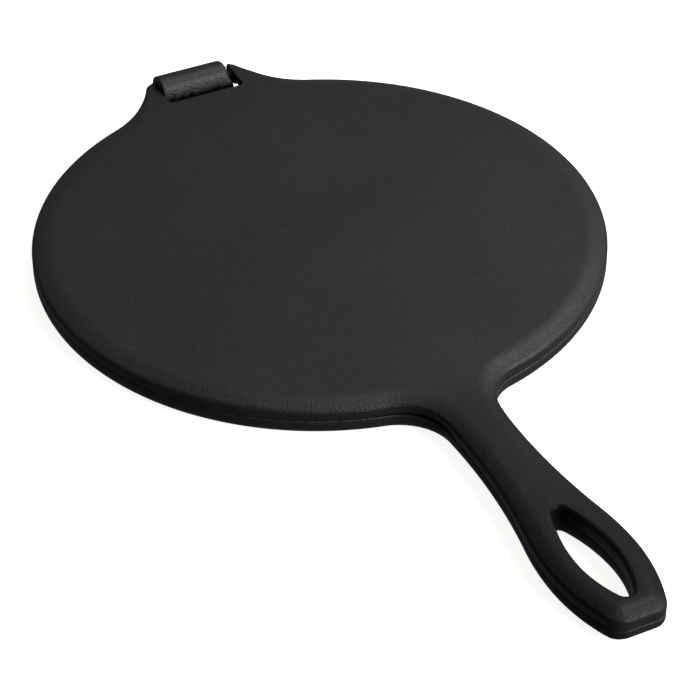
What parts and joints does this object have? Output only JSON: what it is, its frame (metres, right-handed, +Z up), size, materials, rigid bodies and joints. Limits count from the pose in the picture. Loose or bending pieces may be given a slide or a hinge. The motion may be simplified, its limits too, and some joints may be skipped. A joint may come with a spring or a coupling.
{
  "type": "stovetop waffle iron",
  "caption": "Round hand-held stovetop waffle iron: hinged cast-iron plates with a sunk waffle grid inside and flat handles with a hanging eye.",
  "frame": {"origin": "centre of the lower plate's flat underside", "axes": "+Z up, +X along the hinge, +Y from the plate's centre towards the hinge; the handles point to -Y"},
  "size_m": [0.2, 0.3318, 0.0156],
  "materials": {
    "seasoned_iron": "as-cast, oil-seasoned, matt near-black"
  },
  "bodies": {
    "lower": {"lower_plate": "seasoned_iron"},
    "upper": {"upper_plate": "seasoned_iron"}
  },
  "joints": [
    {"name": "hinge", "type": "hinge", "parent": "lower", "child": "upper", "pos_m": [0, 0.1093, 0.0091], "axis": [-1, 0, 0], "range_deg": [0, 180]}
  ]
}
